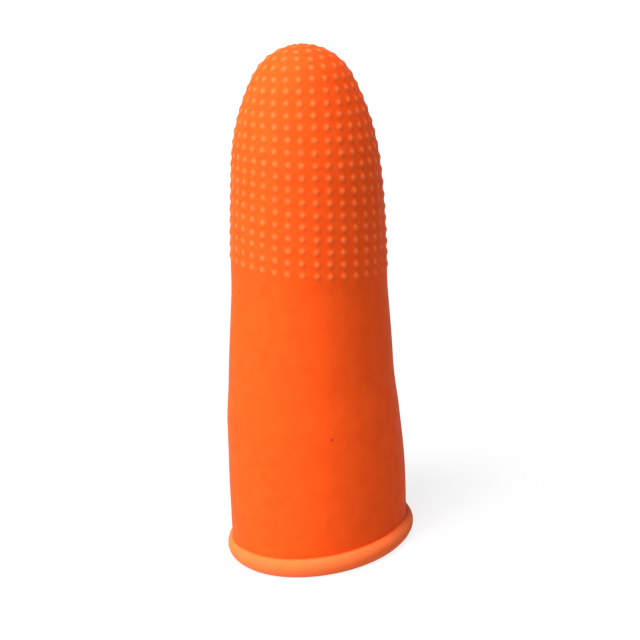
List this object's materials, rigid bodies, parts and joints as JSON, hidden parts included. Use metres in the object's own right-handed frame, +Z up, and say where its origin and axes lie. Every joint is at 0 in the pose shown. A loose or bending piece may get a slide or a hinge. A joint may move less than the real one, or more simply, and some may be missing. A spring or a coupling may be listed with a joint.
{
  "type": "studded finger cot",
  "caption": "Thin rubber finger cot with a domed tip, a grip pattern of small round studs over its upper part, a plain lower body and a rolled rim it stands on.",
  "frame": {"origin": "centre of the rolled rim, on the surface the cot stands on", "axes": "+Z up, from the open end to the closed tip; +X to the side the body leans to, which is the picture's right; -Y towards the viewer"},
  "size_m": [0.027, 0.025, 0.0649],
  "materials": {
    "latex": "matte"
  },
  "bodies": {
    "root": {"finger_cot": "latex"}
  },
  "joints": []
}
